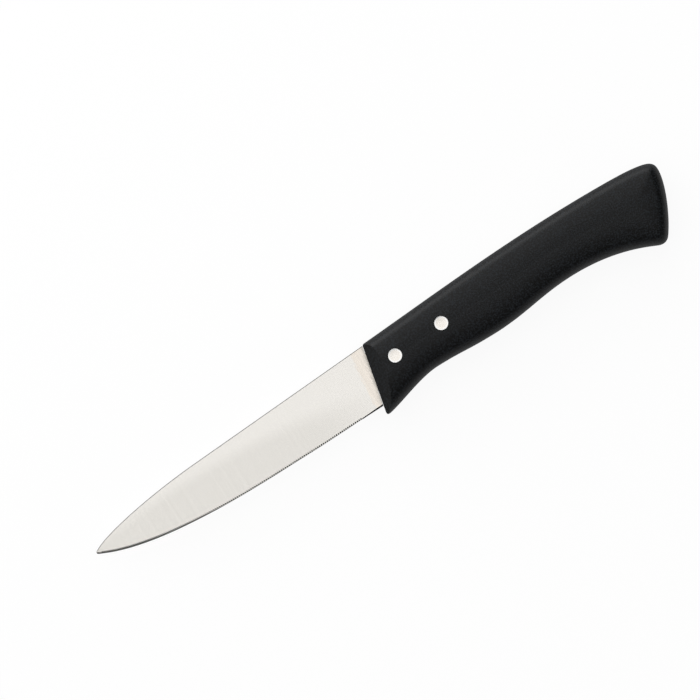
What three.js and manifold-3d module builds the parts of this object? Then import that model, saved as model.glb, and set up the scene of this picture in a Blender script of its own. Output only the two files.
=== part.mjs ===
// Serrated utility knife: a ground steel blade whose short tang is riveted into a moulded handle.
// The cutting edge runs along X at Y = 0, with the point towards -X and the spine towards +Y.
// Z goes through the thickness: the middle of the blade is Z = 0 until the knife is laid on its side.

import * as THREE from 'three';
import { mergeVertices } from 'three/addons/utils/BufferGeometryUtils.js';
import Module from 'manifold-3d';

// Blade outline, in millimetres and degrees
const BLADE_LENGTH = 100; // point to handle, along the cutting edge
const HEEL_HEIGHT = 19.45; // cutting edge to spine, where the edge meets the handle
const SPINE_FALL = 2.8; // slope of the straight spine down towards the point
const SPINE_DROP_LENGTH = 40.3; // curved part of the spine, measured back from the point
const SPINE_DROP_EASE = 16; // how slowly the spine starts to curve down
const SPINE_POINT_ANGLE = 31; // slope of the spine at the point
const SPINE_POINT_PULL = 6; // how far that slope is held
const BELLY_LENGTH = 60.6; // curved part of the edge, measured back from the point
const BELLY_EASE = 26; // how slowly the edge starts to curve up
const EDGE_POINT_ANGLE = 28.5; // slope of the edge at the point
const EDGE_POINT_PULL = 13.5; // how far that slope is held
const POINT_HEIGHT = 9.25; // point above the line of the straight edge
const POINT_BLUNT = 1; // height left where the point starts to round off
const POINT_ROUND = 0.3; // length of the rounded point
const POINT_NOSE = 0.5; // height left at the very end
const HEEL_RISE = 0.36; // the edge lifts this much beside the handle
const HEEL_RISE_LENGTH = 26; // and does so over this length

// Blade section
const BLADE_THICKNESS = 1.5; // at the heel and through the tang
const POINT_THICKNESS = 0.7; // the spine thins down to this
const EDGE_THICKNESS = 0.45; // behind the teeth
const EDGE_LAND = 0.05; // flat left on the very edge
const SPINE_CHAMFER = 0.2;

// Serration: notches ground side by side into one face, each drawn up into a pointed arch
const TOOTH_PITCH = 0.7;
const TOOTH_DEPTH = 0.08; // from tip to notch along the blade's height
const ARCH_HEIGHT = 0.64; // ground face above the middle of a notch
const RIDGE_HEIGHT = 0.05; // ground face above a tip
const POINT_GRIND_HEIGHT = 0.85; // both turn into an even bevel of this height at the point
const POINT_GRIND_LENGTH = 40; // and do so over this length
const HEEL_GRIND_HEIGHT = 0.3; // even bevel along the plain heel
const PLAIN_HEEL = 7.8; // length with no teeth, beside the handle
const GRIND_RUN_OUT = 0.1; // from the heel's bevel to the first tip
const PLAIN_POINT = 0.9; // length with no teeth, at the point

// Tang, hidden in the handle
const TANG_HEIGHT = 12;
const TANG_STEP = 0.04; // the tang starts this far inside the blade's ground faces
const TANG_RUN_OUT = 3; // length in which the grind runs out to full thickness
const TANG_BEHIND_RIVET = 9; // from the rear rivet to the end of the tang
const TANG_CORNER = 1.5;
const TANG_CLEARANCE = 0.15; // all round, in the handle's pocket
const SHOULDER_GAP = 0.1; // blade shoulder to handle front

// Handle outline: places along X from the front of the handle, heights from the cutting edge
const FRONT_LEAN = 12.8; // the front leans back towards the spine
const SPINE_STEP = 0.58; // the handle stands this far above the spine
const HANDLE_LENGTH = 111.55;
const CREST_ALONG = 73;
const CREST_RISE = 2.68; // crest above the top of the front
const TOP_FRONT_EASE = 23;
const CREST_FRONT_EASE = 23.6;
const CREST_BACK_EASE = 11;
const BUTT_TOP_SETBACK = 7.4; // where the back starts to round over, before the end
const BUTT_TOP_FALL = 1.17; // below the crest
const BUTT_TOP_SLOPE = 8;
const BUTT_TOP_EASE = 5.2;
const BUTT_CORNER_EASE = 2.8;
const BUTT_BACK_FALL = 5.4; // furthest point of the butt, below the crest
const BUTT_BACK_EASE = 5.4;
const HOOK_SETBACK = 10.05; // lower corner of the butt, before the end
const HOOK_DROP = 4.25;
const HOOK_LEAN = 47.5; // the butt rises from the hook at this slope
const HOOK_EASE = 6.8;
const HOOK_CORNER = 2.8;
const HOLLOW_ALONG = 70.9; // hollow for the little finger
const HOLLOW_RISE = 3.28;
const HOLLOW_BACK_EASE = 17;
const HOLLOW_FRONT_EASE = 11;
const HOOK_SLOPE = 24.5; // the underside falls to the hook at this slope
const HOOK_PULL = 4;
const PALM_ALONG = 42.1; // swell under the palm
const PALM_RISE = 0.9;
const PALM_BACK_EASE = 11;
const PALM_FRONT_EASE = 10;
const CHOIL_ALONG = 21; // hollow for the first finger
const CHOIL_RISE = 1.78;
const CHOIL_BACK_EASE = 9;
const CHOIL_FRONT_EASE = 7;
const BEAK_DROP = 2.87; // lower corner of the front, below the cutting edge
const BEAK_SLOPE = 7;
const BEAK_EASE = 6;
const BEAK_CORNER = 1.4;
const FRONT_TOP_CORNER = 0.8;

// Handle section
const HANDLE_THICKNESS = 14;
const EDGE_ROUND_WIDTH = 3.6; // rounded edge, seen on the side of the handle
const EDGE_ROUND_DEPTH = 3.6; // the same rounding, through the thickness
const RIM_CUT = 0.4; // the rounding stops this much before its full width, at a crisp rim
const CROWN_DEPTH = 1.8; // the side swells this much from its edge to its middle
const LAND_HALF_WIDTH = 1; // flat strip along the core line
const CORE_FRONT_SETBACK = 9.2; // ends of the core line, from the front and from the butt
const CORE_BUTT_SETBACK = 14;
const FRONT_WALL_HALF = 3.4; // upright part of the front, on either side of the middle
const FRONT_BEVEL_LENGTH = 4; // from there a bevel rises to the full thickness
const FRONT_RUN_ON = 20; // the rounded sides are drawn this far past the front, which then cuts them

// Rivets: a pin from one side is driven into a barrel from the other
const FRONT_RIVET_ALONG = 11.4;
const RIVET_SPACING = 17.5;
const RIVET_BELOW_SPINE = 8.3;
const HEAD_RADIUS = 2.27;
const HEAD_HEIGHT = 1;
const HEAD_CHAMFER = 0.15;
const HEAD_CROWN = 0.05;
const HEAD_RECESS = 0.1; // below the side of the handle
const BARREL_RADIUS = 1.6;
const BARREL_PAST_MIDDLE = 3.2; // the barrel ends this far beyond the middle of the blade
const BARREL_FLOOR = 0.6; // left under the bore, above the head
const PIN_RADIUS = 1;
const PIN_TIP_RADIUS = 0.5;
const PIN_END_GAP = 0.4; // between the pin and the bottom of the bore
const PIN_TAPER = 0.6; // lead-in at the end of the pin
const PIN_CLEARANCE = 0.05; // in the barrel's bore
const RIVET_CLEARANCE = 0.12; // round heads and barrels, in the handle and the tang
const HEAD_SEAT_GAP = 0.05; // under the heads

// Facets
const HEEL_STATIONS = 4;
const SIDE_STEPS = 9;
const CORNER_STEPS = 5;
const ROUND_STEPS = 6;
const CROWN_STEPS = 5;
const RIVET_FACETS = 32;
const BISECTION_STEPS = 24;

const wasm = await Module();
wasm.setup();

const lerp = THREE.MathUtils.lerp;
const tangent = (degrees) => Math.tan(THREE.MathUtils.degToRad(degrees));
const place = (x, y) => new THREE.Vector2(x, y);

/** The place reached from `start` by going `length` along a slope given in degrees. */
function along(start, length, degrees) {
  const angle = THREE.MathUtils.degToRad(degrees);
  return place(start.x + length * Math.cos(angle), start.y + length * Math.sin(angle));
}

// Lines that several pieces share
const frontAt = (y) => y * tangent(FRONT_LEAN);
const spineAt = (x) => HEEL_HEIGHT + x * tangent(SPINE_FALL);
const rivetLineAt = (x) => spineAt(x) - RIVET_BELOW_SPINE;
// X where a line that starts at a height at X = 0 and rises with the spine meets the front
const meetsFront = (height) => frontAt(height) / (1 - tangent(FRONT_LEAN) * tangent(SPINE_FALL));
const rivetPlaces = [FRONT_RIVET_ALONG, FRONT_RIVET_ALONG + RIVET_SPACING].map((x) =>
  place(x, rivetLineAt(x)),
);
const frontHeight = spineAt(0) + SPINE_STEP;
const frontTop = place(frontAt(frontHeight), frontHeight);
const beak = place(frontAt(-BEAK_DROP), -BEAK_DROP);
const crestHeight = frontHeight + CREST_RISE;
const tangStart = meetsFront(rivetLineAt(0)) - SHOULDER_GAP;
const tangEnd = FRONT_RIVET_ALONG + RIVET_SPACING + TANG_BEHIND_RIVET;

/** A closed body through rings with equal numbers of points, each anticlockwise seen from the last. */
function loft(rings, flatten) {
  const count = rings[0].length;
  const index = [];
  for (let ring = 0; ring < rings.length - 1; ring += 1) {
    for (let step = 0; step < count; step += 1) {
      const a = ring * count + step;
      const b = ring * count + ((step + 1) % count);
      index.push(a, b, b + count, a, b + count, a + count);
    }
  }
  const last = (rings.length - 1) * count;
  for (const [a, b, c] of THREE.ShapeUtils.triangulateShape(rings[0].map(flatten), [])) {
    index.push(a, c, b);
  }
  for (const [a, b, c] of THREE.ShapeUtils.triangulateShape(rings.at(-1).map(flatten), [])) {
    index.push(last + a, last + b, last + c);
  }
  const geometry = new THREE.BufferGeometry().setFromPoints(rings.flat());
  return geometry.setIndex(index);
}

/** A solid for cutting and joining, from any closed geometry. */
function toSolid(geometry) {
  const bare = geometry.clone();
  bare.deleteAttribute('normal');
  bare.deleteAttribute('uv');
  const merged = mergeVertices(bare);
  const vertProperties = new Float32Array(merged.attributes.position.array);
  const triVerts = new Uint32Array(merged.index.array);
  return new wasm.Manifold(new wasm.Mesh({ numProp: 3, vertProperties, triVerts }));
}

function toGeometry(solid) {
  const mesh = solid.getMesh();
  const geometry = new THREE.BufferGeometry();
  geometry.setAttribute('position', new THREE.BufferAttribute(mesh.vertProperties, 3));
  geometry.setIndex(new THREE.BufferAttribute(mesh.triVerts, 1));
  geometry.computeVertexNormals();
  return geometry;
}

/** A round cutter through the thickness, between two heights. */
function roundCutter(centre, radius, bottom, top) {
  const cylinder = new THREE.CylinderGeometry(radius, radius, top - bottom, RIVET_FACETS);
  cylinder.rotateX(Math.PI / 2);
  cylinder.translate(centre.x, centre.y, (top + bottom) / 2);
  return toSolid(cylinder);
}

// Blade

/** The cutting edge from heel to point: a slight lift at the heel, straight, then curving up. */
function edgePath() {
  const heel = place(frontAt(HEEL_RISE) - SHOULDER_GAP, HEEL_RISE);
  const level = place(-HEEL_RISE_LENGTH, 0);
  const start = place(BELLY_LENGTH - BLADE_LENGTH, 0);
  const end = place(POINT_ROUND - BLADE_LENGTH, POINT_HEIGHT - POINT_BLUNT / 2);
  const ease = HEEL_RISE_LENGTH / 3;
  const path = new THREE.CurvePath();
  path.add(new THREE.CubicBezierCurve(heel, along(heel, -ease, 0), along(level, ease, 0), level));
  path.add(new THREE.LineCurve(level, start));
  path.add(
    new THREE.CubicBezierCurve(
      start,
      along(start, -BELLY_EASE, 0),
      along(end, EDGE_POINT_PULL, -EDGE_POINT_ANGLE),
      end,
    ),
  );
  return path;
}

/** The spine from heel to point: straight, then dropping. */
function spinePath() {
  const heelX = meetsFront(spineAt(0)) - SHOULDER_GAP;
  const startX = SPINE_DROP_LENGTH - BLADE_LENGTH;
  const start = place(startX, spineAt(startX));
  const end = place(POINT_ROUND - BLADE_LENGTH, POINT_HEIGHT + POINT_BLUNT / 2);
  const path = new THREE.CurvePath();
  path.add(new THREE.LineCurve(place(heelX, spineAt(heelX)), start));
  path.add(
    new THREE.CubicBezierCurve(
      start,
      along(start, -SPINE_DROP_EASE, SPINE_FALL),
      along(end, SPINE_POINT_PULL, SPINE_POINT_ANGLE),
      end,
    ),
  );
  return path;
}

const edge = edgePath();
const spine = spinePath();
const edgeLength = edge.getLength();

/** How the blade lies at a distance from the heel along its edge. */
function bladeSizes(distance) {
  const share = distance / edgeLength;
  const low = edge.getPoint(share);
  const high = spine.getPoint(share);
  const height = low.distanceTo(high);
  const spineHalf = lerp(BLADE_THICKNESS, POINT_THICKNESS, share) / 2;
  const halfAt = (up) => lerp(EDGE_THICKNESS / 2, spineHalf, up / height);
  return { low, high, height, spineHalf, halfAt };
}

/** Section of the blade: a wedge with a chamfered spine, ground away on one face above its edge. */
function bladeSection({ distance, ground, notch }) {
  const { low, high, height, spineHalf, halfAt } = bladeSizes(distance);
  const at = (up, z) => {
    const spot = low.clone().lerp(high, up / height);
    return new THREE.Vector3(spot.x, spot.y, z);
  };
  const shoulder = height - SPINE_CHAMFER;
  const groundTop = Math.min(ground, shoulder - SPINE_CHAMFER);
  return [
    at(notch, -halfAt(notch)),
    at(shoulder, -halfAt(shoulder)),
    at(height, SPINE_CHAMFER - spineHalf),
    at(height, spineHalf - SPINE_CHAMFER),
    at(shoulder, halfAt(shoulder)),
    at(groundTop, halfAt(groundTop)),
    at(notch, EDGE_LAND - halfAt(notch)),
  ];
}

/** Places for sections from the heel: a few on the plain heel, then each tip and each notch. */
function bladeStations() {
  const stations = [];
  for (let step = 0; step <= HEEL_STATIONS; step += 1) {
    const distance = lerp(0, PLAIN_HEEL - GRIND_RUN_OUT, step / HEEL_STATIONS);
    stations.push({ distance, ground: HEEL_GRIND_HEIGHT, notch: 0 });
  }
  const teeth = Math.floor((edgeLength - PLAIN_HEEL - PLAIN_POINT) / TOOTH_PITCH);
  for (let half = 0; half <= 2 * teeth; half += 1) {
    const distance = PLAIN_HEEL + (half * TOOTH_PITCH) / 2;
    const inNotch = half % 2 === 1;
    const toPoint = THREE.MathUtils.clamp(1 - (edgeLength - distance) / POINT_GRIND_LENGTH, 0, 1);
    const arch = inNotch ? ARCH_HEIGHT : RIDGE_HEIGHT;
    const ground = lerp(arch, POINT_GRIND_HEIGHT, toPoint * toPoint);
    stations.push({ distance, ground, notch: inNotch ? TOOTH_DEPTH : 0 });
  }
  stations.push({ distance: edgeLength, ground: POINT_GRIND_HEIGHT, notch: 0 });
  return stations;
}

/** The end of the point: its last section moved on and drawn together. */
function noseSection(lastSection) {
  const middle = new THREE.Vector3(-BLADE_LENGTH, POINT_HEIGHT, 0);
  const drawn = POINT_NOSE / POINT_BLUNT;
  return lastSection.map((corner) => middle.clone().lerp(corner, drawn).setX(-BLADE_LENGTH));
}

/** Section of the tang at x, between two half thicknesses, leaning like the front of the handle. */
function tangSection(x, height, lowHalf, highHalf) {
  const middle = rivetLineAt(x);
  const at = (up, z) => new THREE.Vector3(x + frontAt(up), middle + up, z);
  const half = height / 2;
  return [
    at(-half, -lowHalf),
    at(half - SPINE_CHAMFER, -highHalf),
    at(half, SPINE_CHAMFER - highHalf),
    at(half, highHalf - SPINE_CHAMFER),
    at(half - SPINE_CHAMFER, highHalf),
    at(SPINE_CHAMFER - half, lowHalf),
    at(-half, lowHalf - SPINE_CHAMFER),
  ];
}

/** Blade and tang in one piece: lofted from the point to the end of the tang, then drilled. */
function bladeGeometry() {
  const ground = bladeStations().reverse().map(bladeSection);
  const { halfAt } = bladeSizes(0);
  const middle = rivetLineAt(tangStart);
  const low = halfAt(middle - TANG_HEIGHT / 2) - TANG_STEP;
  const high = halfAt(middle + TANG_HEIGHT / 2) - TANG_STEP;
  const full = BLADE_THICKNESS / 2;
  const rings = [
    noseSection(ground[0]),
    ...ground,
    tangSection(tangStart, TANG_HEIGHT, low, high),
    tangSection(tangStart + TANG_RUN_OUT, TANG_HEIGHT, full, full),
    tangSection(tangEnd - TANG_CORNER, TANG_HEIGHT, full, full),
    tangSection(tangEnd, TANG_HEIGHT - 2 * TANG_CORNER, full, full),
  ];
  let solid = toSolid(loft(rings, (corner) => place(corner.y, corner.z)));
  for (const centre of rivetPlaces) {
    const radius = BARREL_RADIUS + RIVET_CLEARANCE;
    solid = solid.subtract(roundCutter(centre, radius, -BLADE_THICKNESS, BLADE_THICKNESS));
  }
  return toGeometry(solid);
}

// Handle

/** The sides of the handle's outline, anticlockwise from the beak, each with its corner length. */
function handleSides() {
  const choil = place(CHOIL_ALONG, CHOIL_RISE);
  const palm = place(PALM_ALONG, PALM_RISE);
  const hollow = place(HOLLOW_ALONG, HOLLOW_RISE);
  const hook = place(HANDLE_LENGTH - HOOK_SETBACK, -HOOK_DROP);
  const crest = place(CREST_ALONG, crestHeight);
  const buttTop = place(HANDLE_LENGTH - BUTT_TOP_SETBACK, crest.y - BUTT_TOP_FALL);
  const buttBack = place(HANDLE_LENGTH, crest.y - BUTT_BACK_FALL);
  const curve = (start, leave, arrive, end) => new THREE.CubicBezierCurve(start, leave, arrive, end);
  return [
    {
      curve: curve(
        beak,
        along(beak, BEAK_EASE, BEAK_SLOPE),
        along(choil, -CHOIL_FRONT_EASE, 0),
        choil,
      ),
      corner: 0,
    },
    {
      curve: curve(
        choil,
        along(choil, CHOIL_BACK_EASE, 0),
        along(palm, -PALM_FRONT_EASE, 0),
        palm,
      ),
      corner: 0,
    },
    {
      curve: curve(
        palm,
        along(palm, PALM_BACK_EASE, 0),
        along(hollow, -HOLLOW_FRONT_EASE, 0),
        hollow,
      ),
      corner: 0,
    },
    {
      curve: curve(
        hollow,
        along(hollow, HOLLOW_BACK_EASE, 0),
        along(hook, -HOOK_PULL, -HOOK_SLOPE),
        hook,
      ),
      corner: HOOK_CORNER,
    },
    {
      curve: curve(
        hook,
        along(hook, HOOK_EASE, HOOK_LEAN),
        along(buttBack, -BUTT_BACK_EASE, 90),
        buttBack,
      ),
      corner: 0,
    },
    {
      curve: curve(
        buttBack,
        along(buttBack, BUTT_CORNER_EASE, 90),
        along(buttTop, BUTT_TOP_EASE, -BUTT_TOP_SLOPE),
        buttTop,
      ),
      corner: 0,
    },
    {
      curve: curve(
        buttTop,
        along(buttTop, -BUTT_TOP_EASE, -BUTT_TOP_SLOPE),
        along(crest, CREST_BACK_EASE, 0),
        crest,
      ),
      corner: 0,
    },
    {
      curve: curve(
        crest,
        along(crest, -CREST_FRONT_EASE, 0),
        along(frontTop, TOP_FRONT_EASE, SPINE_FALL),
        frontTop,
      ),
      corner: FRONT_TOP_CORNER,
    },
    { curve: new THREE.LineCurve(frontTop, beak), corner: BEAK_CORNER },
  ];
}

/** Points round a chain of sides, with each corner cut back and bridged by a curve. */
function outlinePoints(sides) {
  const points = [];
  sides.forEach((side, order) => {
    const next = sides[(order + 1) % sides.length];
    const length = side.curve.getLength();
    const from = sides.at(order - 1).corner / length;
    const to = 1 - side.corner / length;
    for (let step = 0; step < SIDE_STEPS; step += 1) {
      points.push(side.curve.getPointAt(lerp(from, to, step / SIDE_STEPS)));
    }
    if (side.corner > 0) {
      const bridge = new THREE.QuadraticBezierCurve(
        side.curve.getPointAt(to),
        side.curve.getPoint(1),
        next.curve.getPointAt(side.corner / next.curve.getLength()),
      );
      points.push(...bridge.getPoints(CORNER_STEPS).slice(0, -1));
    }
  });
  return points;
}

/** Least distance from a place to a closed outline. */
function distanceTo(outline, spot) {
  let least = Infinity;
  outline.forEach((start, order) => {
    const way = outline[(order + 1) % outline.length].clone().sub(start);
    const share = spot.clone().sub(start).dot(way) / way.lengthSq();
    const nearest = start.clone().addScaledVector(way, THREE.MathUtils.clamp(share, 0, 1));
    least = Math.min(least, nearest.distanceTo(spot));
  });
  return least;
}

/** Height half-way between the lower and the upper side of a closed outline, at x. */
function middleAt(outline, x) {
  const heights = [];
  outline.forEach((start, order) => {
    const end = outline[(order + 1) % outline.length];
    if (start.x <= x !== end.x <= x) {
      heights.push(lerp(start.y, end.y, (x - start.x) / (end.x - start.x)));
    }
  });
  return (Math.min(...heights) + Math.max(...heights)) / 2;
}

/** A point of the outline moved in, straight towards a core spot, until it is `depth` inside. */
function inset(outline, start, core, depth) {
  let near = 0;
  let far = 1;
  for (let step = 0; step < BISECTION_STEPS; step += 1) {
    const middle = (near + far) / 2;
    const inside = distanceTo(outline, start.clone().lerp(core, middle));
    if (inside < depth) near = middle;
    else far = middle;
  }
  return start.clone().lerp(core, near);
}

/** The outline without its front: its top and its underside run straight on past it. */
function runOnOutline(outline) {
  const frontPoints = SIDE_STEPS + 2 * CORNER_STEPS; // the front and its two corners come last
  return [
    ...outline.slice(0, -frontPoints),
    frontTop,
    along(frontTop, -FRONT_RUN_ON, SPINE_FALL),
    along(beak, -FRONT_RUN_ON, BEAK_SLOPE),
    beak,
  ];
}

/** How far the side of the handle lies below its flat middle, at a depth inside the outline. */
function sideDrop(depth, crownWidth) {
  const round = Math.max(0, 1 - (depth + RIM_CUT) / EDGE_ROUND_WIDTH);
  const crown = Math.max(0, 1 - depth / crownWidth);
  return EDGE_ROUND_DEPTH * (1 - Math.sqrt(1 - round * round)) + CROWN_DEPTH * crown * crown;
}

/** The handle before it is cut: its outline drawn in, ring by ring, over rounded and crowned sides. */
function handleForm() {
  const outline = outlinePoints(handleSides());
  const runOn = runOnOutline(outline);
  const coreStart = frontAt(frontHeight / 2) + CORE_FRONT_SETBACK;
  const coreAt = (x) => {
    const spotX = Math.min(x, HANDLE_LENGTH - CORE_BUTT_SETBACK);
    return place(spotX, middleAt(runOn, spotX));
  };
  const ways = outline.map((start) => {
    const core = coreAt(Math.max(start.x, coreStart));
    return { start, core, crownWidth: distanceTo(outline, core) - LAND_HALF_WIDTH };
  });
  const ring = (depthFor) =>
    ways.map(({ start, core, crownWidth }) => {
      const spot = inset(outline, start, core, depthFor(crownWidth));
      const crownHere = distanceTo(runOn, coreAt(spot.x)) - LAND_HALF_WIDTH;
      const height = HANDLE_THICKNESS / 2 - sideDrop(distanceTo(runOn, spot), crownHere);
      return new THREE.Vector3(spot.x, spot.y, height);
    });
  const rimTurn = Math.acos(1 - RIM_CUT / EDGE_ROUND_WIDTH);
  const crownStart = EDGE_ROUND_WIDTH - RIM_CUT;
  const upper = [];
  for (let step = 0; step < ROUND_STEPS; step += 1) {
    const turn = lerp(rimTurn, Math.PI / 2, step / ROUND_STEPS);
    upper.push(ring(() => EDGE_ROUND_WIDTH * (1 - Math.cos(turn)) - RIM_CUT));
  }
  for (let step = 0; step <= CROWN_STEPS; step += 1) {
    upper.push(ring((crownWidth) => lerp(crownStart, crownWidth, step / CROWN_STEPS)));
  }
  const lower = upper.map((spots) => spots.map((spot) => new THREE.Vector3(spot.x, spot.y, -spot.z)));
  return toSolid(loft([...lower.reverse(), ...upper], (spot) => place(spot.x, spot.y)));
}

/** What the front's bevel takes away, above the middle or below it: all beyond a sloping plane. */
function bevelCutter(up) {
  const side = HANDLE_THICKNESS / 2;
  const rise = side - FRONT_WALL_HALF;
  const wedge = new THREE.Shape([
    place(-FRONT_BEVEL_LENGTH, up * (FRONT_WALL_HALF - rise)),
    place(2 * FRONT_BEVEL_LENGTH, up * (side + rise)),
    place(-FRONT_BEVEL_LENGTH, up * (side + rise)),
  ]);
  const depth = 2 * (frontHeight + BEAK_DROP);
  const geometry = new THREE.ExtrudeGeometry(wedge, { depth, bevelEnabled: false });
  geometry.translate(0, 0, -depth / 2);
  geometry.rotateX(Math.PI / 2);
  geometry.rotateZ(-THREE.MathUtils.degToRad(FRONT_LEAN));
  return toSolid(geometry);
}

/** The pocket for the tang, open at the front of the handle. */
function tangPocket() {
  const height = TANG_HEIGHT / 2 + TANG_CLEARANCE;
  const half = BLADE_THICKNESS / 2 + TANG_CLEARANCE;
  const section = (x) => {
    const middle = rivetLineAt(x);
    return [
      new THREE.Vector3(x + frontAt(-height), middle - height, -half),
      new THREE.Vector3(x + frontAt(height), middle + height, -half),
      new THREE.Vector3(x + frontAt(height), middle + height, half),
      new THREE.Vector3(x + frontAt(-height), middle - height, half),
    ];
  };
  const rings = [section(tangStart - EDGE_ROUND_WIDTH), section(tangEnd + TANG_CLEARANCE)];
  return toSolid(loft(rings, (corner) => place(corner.y, corner.z)));
}

function handleGeometry() {
  let solid = handleForm()
    .subtract(bevelCutter(1))
    .subtract(bevelCutter(-1))
    .subtract(tangPocket());
  const side = HANDLE_THICKNESS / 2;
  const seat = side - HEAD_RECESS - HEAD_HEIGHT - HEAD_SEAT_GAP;
  for (const centre of rivetPlaces) {
    const headBore = HEAD_RADIUS + RIVET_CLEARANCE;
    solid = solid
      .subtract(roundCutter(centre, BARREL_RADIUS + RIVET_CLEARANCE, -side, side))
      .subtract(roundCutter(centre, headBore, seat, side + HEAD_HEIGHT))
      .subtract(roundCutter(centre, headBore, -side - HEAD_HEIGHT, -seat));
  }
  return toGeometry(solid);
}

// Rivets: both profiles are drawn with the head up and start at the middle of its face

const headTop = HANDLE_THICKNESS / 2 - HEAD_RECESS;
const headBottom = headTop - HEAD_HEIGHT;
const boreBottom = headBottom - BARREL_FLOOR;

const headProfile = [
  place(0, headTop),
  place(HEAD_RADIUS - HEAD_CHAMFER, headTop - HEAD_CROWN),
  place(HEAD_RADIUS, headTop - HEAD_CROWN - HEAD_CHAMFER),
  place(HEAD_RADIUS, headBottom),
];

/** A turned piece, its profile given from the top down. */
function turned(profile) {
  const lathe = new THREE.LatheGeometry(profile.toReversed(), RIVET_FACETS);
  return lathe.rotateX(Math.PI / 2);
}

function pinGeometry() {
  const end = PIN_END_GAP - boreBottom;
  return turned([
    ...headProfile,
    place(PIN_RADIUS, headBottom),
    place(PIN_RADIUS, end + PIN_TAPER),
    place(PIN_TIP_RADIUS, end),
    place(0, end),
  ]);
}

function barrelGeometry() {
  const bore = PIN_RADIUS + PIN_CLEARANCE;
  return turned([
    ...headProfile,
    place(BARREL_RADIUS, headBottom),
    place(BARREL_RADIUS, -BARREL_PAST_MIDDLE),
    place(bore, -BARREL_PAST_MIDDLE),
    place(bore, boreBottom),
    place(0, boreBottom),
  ]);
}

// Materials

const bladeSteel = new THREE.MeshStandardMaterial({ color: 0xe4e1db, roughness: 0.35, metalness: 1 });
const handlePlastic = new THREE.MeshStandardMaterial({ color: 0x242628, roughness: 0.5, metalness: 0 });
const rivetSteel = new THREE.MeshStandardMaterial({ color: 0xeeece4, roughness: 0.25, metalness: 1 });

function named(name, geometry, material) {
  const mesh = new THREE.Mesh(geometry, material);
  mesh.name = name;
  return mesh;
}

/** One rivet: the pin's head is on the upper side of the handle, the barrel's on the lower side. */
function rivet(name, centre) {
  const group = new THREE.Group();
  const pin = named(`${name}_rivet_pin`, pinGeometry(), rivetSteel);
  const barrel = named(`${name}_rivet_barrel`, barrelGeometry(), rivetSteel);
  barrel.rotation.x = Math.PI;
  group.add(pin, barrel);
  group.position.set(centre.x, centre.y, 0);
  return group;
}

const knife = new THREE.Group();
knife.add(
  named('blade', bladeGeometry(), bladeSteel),
  named('handle', handleGeometry(), handlePlastic),
  rivet('front', rivetPlaces[0]),
  rivet('rear', rivetPlaces[1]),
);

// The knife lies on its side, with its origin under the middle of its length and height
const box = new THREE.Box3().setFromObject(knife);
const middle = box.getCenter(new THREE.Vector3());
knife.position.set(-middle.x, -middle.y, -box.min.z);

export default knife;
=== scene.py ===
"""Looks of a serrated utility knife: a satin-ground blade, a moulded black handle and flush rivets.

Sizes are millimetres in the knife's own drawing: the cutting edge runs along X at Y = 0, the point
is towards -X, the spine towards +Y, and the middle of the blade is Z = 0. `on_frame` moves a drawing
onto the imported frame, in metres.
"""

import math

import bmesh
import bpy
import numpy as np
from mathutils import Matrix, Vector


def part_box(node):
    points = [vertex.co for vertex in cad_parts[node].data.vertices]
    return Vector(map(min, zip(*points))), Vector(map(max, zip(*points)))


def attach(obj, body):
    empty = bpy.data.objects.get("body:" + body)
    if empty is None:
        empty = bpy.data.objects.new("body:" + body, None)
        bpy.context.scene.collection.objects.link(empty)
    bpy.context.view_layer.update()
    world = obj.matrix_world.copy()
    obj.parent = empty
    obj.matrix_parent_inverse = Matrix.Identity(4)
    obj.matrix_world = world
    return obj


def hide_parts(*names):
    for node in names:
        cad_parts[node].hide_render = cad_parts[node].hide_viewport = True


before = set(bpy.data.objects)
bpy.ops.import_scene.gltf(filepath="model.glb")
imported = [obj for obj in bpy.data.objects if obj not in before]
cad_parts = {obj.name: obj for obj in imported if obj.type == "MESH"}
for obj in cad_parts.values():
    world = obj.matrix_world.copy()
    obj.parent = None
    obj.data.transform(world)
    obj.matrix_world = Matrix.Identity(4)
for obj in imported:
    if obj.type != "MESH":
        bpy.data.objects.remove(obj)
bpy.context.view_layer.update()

MM = 0.001

# Blade outline
BLADE_LENGTH = 100.0
HEEL_HEIGHT = 19.45
SPINE_FALL = 2.8  # degrees, as are all slopes and angles below
SPINE_DROP_LENGTH = 40.3
SPINE_DROP_EASE = 16.0
SPINE_POINT_ANGLE = 31.0
SPINE_POINT_PULL = 6.0
BELLY_LENGTH = 60.6
BELLY_EASE = 26.0
EDGE_POINT_ANGLE = 28.5
EDGE_POINT_PULL = 13.5
POINT_HEIGHT = 9.25
POINT_BLUNT = 1.0
POINT_ROUND = 0.3
POINT_NOSE = 0.5
HEEL_RISE = 0.36
HEEL_RISE_LENGTH = 26.0

# Blade section
BLADE_THICKNESS = 1.5
POINT_THICKNESS = 0.7
EDGE_THICKNESS = 0.45
EDGE_LAND = 0.05
SPINE_CHAMFER = 0.2

# Serration: notches ground side by side into the upper face, each drawn up into an arch
TOOTH_PITCH = 0.7
TOOTH_DEPTH = 0.08
ARCH_HEIGHT = 0.63  # ground face over the middle of a notch
RIDGE_HEIGHT = 0.05  # and between two notches
POINT_ARCH_HEIGHT = 0.9  # both grow to these at the point
POINT_RIDGE_HEIGHT = 0.42
POINT_GRIND_LENGTH = 46.0  # over this length
POINT_GRIND_EVEN = 14.0  # the last of which is even
HEEL_GRIND_HEIGHT = 0.6  # beside the handle
HEEL_GRIND_END = 0.35  # and where the teeth start
ARCH_FOOT, ARCH_HEAD = 0.15, 0.55  # share of the half pitch where the arch starts and ends its rise
TOOTH_STATIONS = 12
PLAIN_HEEL = 7.8
GRIND_RUN_OUT = 0.1
PLAIN_POINT = 0.9
HEEL_STATIONS = 24

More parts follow.
